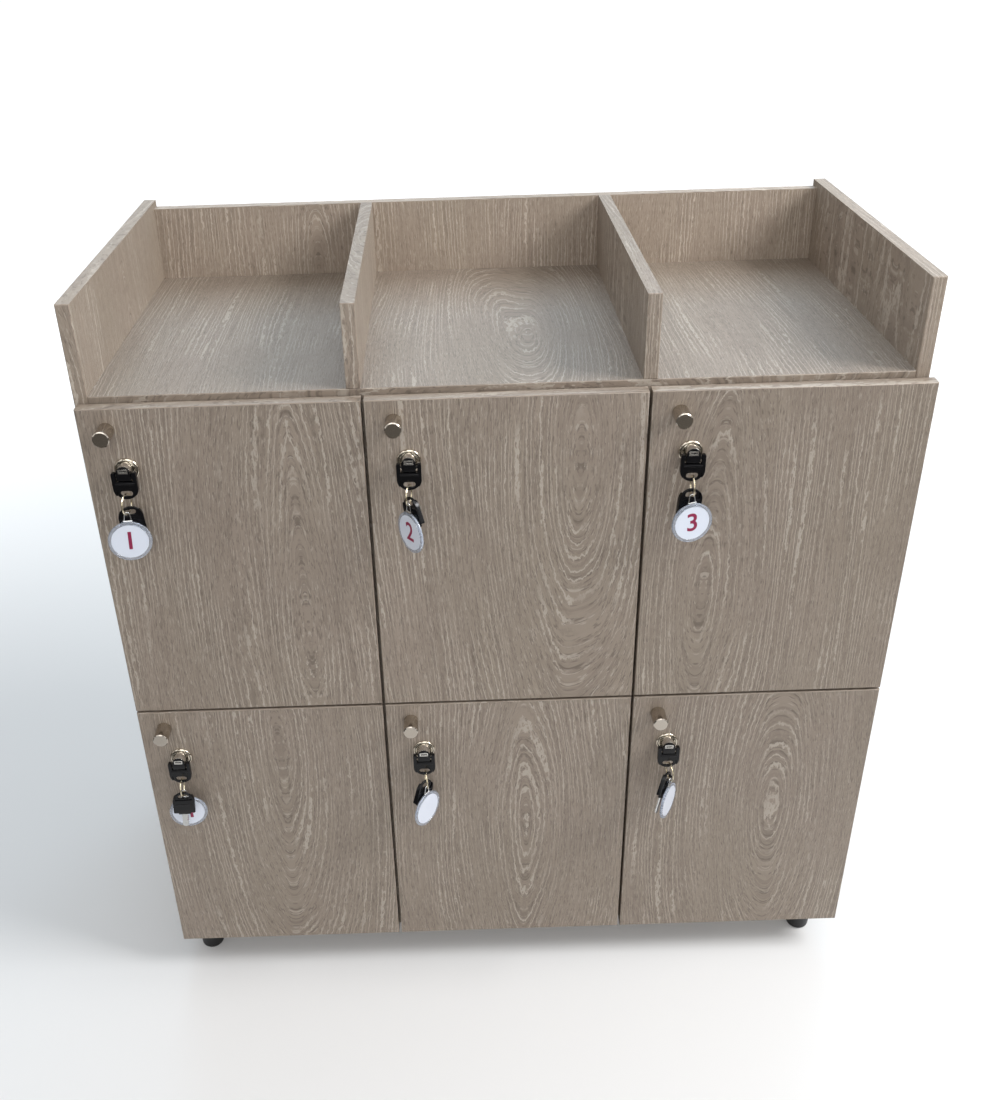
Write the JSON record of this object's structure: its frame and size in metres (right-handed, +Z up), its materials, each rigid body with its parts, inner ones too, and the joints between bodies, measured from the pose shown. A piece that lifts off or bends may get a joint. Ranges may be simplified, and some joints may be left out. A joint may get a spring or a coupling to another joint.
{
  "type": "phone locker cabinet",
  "caption": "Free-standing oak-look board cabinet with lockable phone lockers in two rows, keys hanging in their cam locks and an open divided tray on top.",
  "frame": {"origin": "on the ground under the middle of the whole part, keys and knobs included", "axes": "+Z up, the doors face -Y, +X to the right seen from the front"},
  "size_m": [0.9046, 0.4976, 0.951],
  "materials": {
    "oak_laminate": "matt printed oak grain",
    "satin_nickel": "satin",
    "hinge_steel": "bright nickel",
    "black_plastic": "glossy",
    "brass_wire": "bright pale gold",
    "foot_plastic": "matt",
    "tag_plastic": "clear and polished",
    "tag_card": "smooth white",
    "tag_ink": "printed",
    "clear_rubber": "translucent"
  },
  "bodies": {
    "cabinet": {"side_panels": "oak_laminate", "partitions": "oak_laminate", "top_panel": "oak_laminate", "bottom_panel": "oak_laminate", "shelves": "oak_laminate", "back_panel": "oak_laminate", "tray_dividers": "oak_laminate", "feet": "foot_plastic", "hinge_arms": "hinge_steel", "lock_strikes": "hinge_steel", "door_bumpers": "clear_rubber", "case_screws": "hinge_steel"},
    "door_1": {"door_panel_1": "oak_laminate", "door_knob_1": "satin_nickel", "cam_lock_1": "satin_nickel", "hinge_cups_1": "hinge_steel"},
    "hinge_link_1": {"hinge_links_1": "hinge_steel"},
    "plug_1": {"lock_plug_1": "satin_nickel"},
    "bow_1": {"key_bow_1": "black_plastic"},
    "bunch_1": {"key_bunch_1": "brass_wire"},
    "door_2": {"door_panel_2": "oak_laminate", "door_knob_2": "satin_nickel", "cam_lock_2": "satin_nickel", "hinge_cups_2": "hinge_steel"},
    "hinge_link_2": {"hinge_links_2": "hinge_steel"},
    "plug_2": {"lock_plug_2": "satin_nickel"},
    "bow_2": {"key_bow_2": "black_plastic"},
    "bunch_2": {"key_bunch_2": "brass_wire"},
    "door_3": {"door_panel_3": "oak_laminate", "door_knob_3": "satin_nickel", "cam_lock_3": "satin_nickel", "hinge_cups_3": "hinge_steel"},
    "hinge_link_3": {"hinge_links_3": "hinge_steel"},
    "plug_3": {"lock_plug_3": "satin_nickel"},
    "bow_3": {"key_bow_3": "black_plastic"},
    "bunch_3": {"key_bunch_3": "brass_wire"},
    "door_4": {"door_panel_4": "oak_laminate", "door_knob_4": "satin_nickel", "cam_lock_4": "satin_nickel", "hinge_cups_4": "hinge_steel"},
    "hinge_link_4": {"hinge_links_4": "hinge_steel"},
    "plug_4": {"lock_plug_4": "satin_nickel"},
    "bow_4": {"key_bow_4": "black_plastic"},
    "bunch_4": {"key_bunch_4": "brass_wire"},
    "door_5": {"door_panel_5": "oak_laminate", "door_knob_5": "satin_nickel", "cam_lock_5": "satin_nickel", "hinge_cups_5": "hinge_steel"},
    "hinge_link_5": {"hinge_links_5": "hinge_steel"},
    "plug_5": {"lock_plug_5": "satin_nickel"},
    "bow_5": {"key_bow_5": "black_plastic"},
    "bunch_5": {"key_bunch_5": "brass_wire"},
    "door_6": {"door_panel_6": "oak_laminate", "door_knob_6": "satin_nickel", "cam_lock_6": "satin_nickel", "hinge_cups_6": "hinge_steel"},
    "hinge_link_6": {"hinge_links_6": "hinge_steel"},
    "plug_6": {"lock_plug_6": "satin_nickel"},
    "bow_6": {"key_bow_6": "black_plastic"},
    "bunch_6": {"key_bunch_6": "brass_wire"}
  },
  "joints": [
    {"name": "link_1_turn", "type": "hinge", "parent": "cabinet", "child": "hinge_link_1", "pos_m": [-0.18675, -0.17356, 0.6475], "axis": [0, 0, 1], "range_deg": [-31.67, 0]},
    {"name": "door_1_swing", "type": "hinge", "parent": "hinge_link_1", "child": "door_1", "pos_m": [-0.16175, -0.19016, 0.6475], "axis": [0, 0, 1], "range_deg": [0, 126.67]},
    {"name": "lock_1_turn", "type": "hinge", "parent": "door_1", "child": "plug_1", "pos_m": [-0.40475, -0.20116, 0.774], "axis": [0, 1, 0], "range_deg": [0, 90]},
    {"name": "bow_1_fold", "type": "hinge", "parent": "plug_1", "child": "bow_1", "pos_m": [-0.40475, -0.21666, 0.774], "axis": [-1, 0, 0], "range_deg": [0, 90]},
    {"name": "bunch_1_swing", "type": "hinge", "parent": "bow_1", "child": "bunch_1", "pos_m": [-0.40475, -0.21666, 0.7535], "axis": [0, 1, 0], "range_deg": [-30, 30]},
    {"name": "link_2_turn", "type": "hinge", "parent": "cabinet", "child": "hinge_link_2", "pos_m": [0.11475, -0.17356, 0.6475], "axis": [0, 0, 1], "range_deg": [-31.67, 0]},
    {"name": "door_2_swing", "type": "hinge", "parent": "hinge_link_2", "child": "door_2", "pos_m": [0.13975, -0.19016, 0.6475], "axis": [0, 0, 1], "range_deg": [0, 126.67]},
    {"name": "lock_2_turn", "type": "hinge", "parent": "door_2", "child": "plug_2", "pos_m": [-0.10325, -0.20116, 0.774], "axis": [0, 1, 0], "range_deg": [0, 90]},
    {"name": "bow_2_fold", "type": "hinge", "parent": "plug_2", "child": "bow_2", "pos_m": [-0.10325, -0.21666, 0.774], "axis": [-1, 0, 0], "range_deg": [0, 90]},
    {"name": "bunch_2_swing", "type": "hinge", "parent": "bow_2", "child": "bunch_2", "pos_m": [-0.10325, -0.21666, 0.7535], "axis": [0, 1, 0], "range_deg": [-30, 30]},
    {"name": "link_3_turn", "type": "hinge", "parent": "cabinet", "child": "hinge_link_3", "pos_m": [0.41625, -0.17356, 0.6475], "axis": [0, 0, 1], "range_deg": [-31.67, 0]},
    {"name": "door_3_swing", "type": "hinge", "parent": "hinge_link_3", "child": "door_3", "pos_m": [0.44125, -0.19016, 0.6475], "axis": [0, 0, 1], "range_deg": [0, 126.67]},
    {"name": "lock_3_turn", "type": "hinge", "parent": "door_3", "child": "plug_3", "pos_m": [0.19825, -0.20116, 0.774], "axis": [0, 1, 0], "range_deg": [0, 90]},
    {"name": "bow_3_fold", "type": "hinge", "parent": "plug_3", "child": "bow_3", "pos_m": [0.19825, -0.21666, 0.774], "axis": [-1, 0, 0], "range_deg": [0, 90]},
    {"name": "bunch_3_swing", "type": "hinge", "parent": "bow_3", "child": "bunch_3", "pos_m": [0.19825, -0.21666, 0.7535], "axis": [0, 1, 0], "range_deg": [-30, 30]},
    {"name": "link_4_turn", "type": "hinge", "parent": "cabinet", "child": "hinge_link_4", "pos_m": [-0.18675, -0.17356, 0.2515], "axis": [0, 0, 1], "range_deg": [-31.67, 0]},
    {"name": "door_4_swing", "type": "hinge", "parent": "hinge_link_4", "child": "door_4", "pos_m": [-0.16175, -0.19016, 0.2515], "axis": [0, 0, 1], "range_deg": [0, 126.67]},
    {"name": "lock_4_turn", "type": "hinge", "parent": "door_4", "child": "plug_4", "pos_m": [-0.40475, -0.20116, 0.378], "axis": [0, 1, 0], "range_deg": [0, 90]},
    {"name": "bow_4_fold", "type": "hinge", "parent": "plug_4", "child": "bow_4", "pos_m": [-0.40475, -0.21666, 0.378], "axis": [-1, 0, 0], "range_deg": [0, 90]},
    {"name": "bunch_4_swing", "type": "hinge", "parent": "bow_4", "child": "bunch_4", "pos_m": [-0.40475, -0.21666, 0.3575], "axis": [0, 1, 0], "range_deg": [-30, 30]},
    {"name": "link_5_turn", "type": "hinge", "parent": "cabinet", "child": "hinge_link_5", "pos_m": [0.11475, -0.17356, 0.2515], "axis": [0, 0, 1], "range_deg": [-31.67, 0]},
    {"name": "door_5_swing", "type": "hinge", "parent": "hinge_link_5", "child": "door_5", "pos_m": [0.13975, -0.19016, 0.2515], "axis": [0, 0, 1], "range_deg": [0, 126.67]},
    {"name": "lock_5_turn", "type": "hinge", "parent": "door_5", "child": "plug_5", "pos_m": [-0.10325, -0.20116, 0.378], "axis": [0, 1, 0], "range_deg": [0, 90]},
    {"name": "bow_5_fold", "type": "hinge", "parent": "plug_5", "child": "bow_5", "pos_m": [-0.10325, -0.21666, 0.378], "axis": [-1, 0, 0], "range_deg": [0, 90]},
    {"name": "bunch_5_swing", "type": "hinge", "parent": "bow_5", "child": "bunch_5", "pos_m": [-0.10325, -0.21666, 0.3575], "axis": [0, 1, 0], "range_deg": [-30, 30]},
    {"name": "link_6_turn", "type": "hinge", "parent": "cabinet", "child": "hinge_link_6", "pos_m": [0.41625, -0.17356, 0.2515], "axis": [0, 0, 1], "range_deg": [-31.67, 0]},
    {"name": "door_6_swing", "type": "hinge", "parent": "hinge_link_6", "child": "door_6", "pos_m": [0.44125, -0.19016, 0.2515], "axis": [0, 0, 1], "range_deg": [0, 126.67]},
    {"name": "lock_6_turn", "type": "hinge", "parent": "door_6", "child": "plug_6", "pos_m": [0.19825, -0.20116, 0.378], "axis": [0, 1, 0], "range_deg": [0, 90]},
    {"name": "bow_6_fold", "type": "hinge", "parent": "plug_6", "child": "bow_6", "pos_m": [0.19825, -0.21666, 0.378], "axis": [-1, 0, 0], "range_deg": [0, 90]},
    {"name": "bunch_6_swing", "type": "hinge", "parent": "bow_6", "child": "bunch_6", "pos_m": [0.19825, -0.21666, 0.3575], "axis": [0, 1, 0], "range_deg": [-30, 30]}
  ],
  "couplings": [
    {"joint": "link_1_turn", "follows": "door_1_swing", "ratio": -0.25},
    {"joint": "link_2_turn", "follows": "door_2_swing", "ratio": -0.25},
    {"joint": "link_3_turn", "follows": "door_3_swing", "ratio": -0.25},
    {"joint": "link_4_turn", "follows": "door_4_swing", "ratio": -0.25},
    {"joint": "link_5_turn", "follows": "door_5_swing", "ratio": -0.25},
    {"joint": "link_6_turn", "follows": "door_6_swing", "ratio": -0.25}
  ]
}
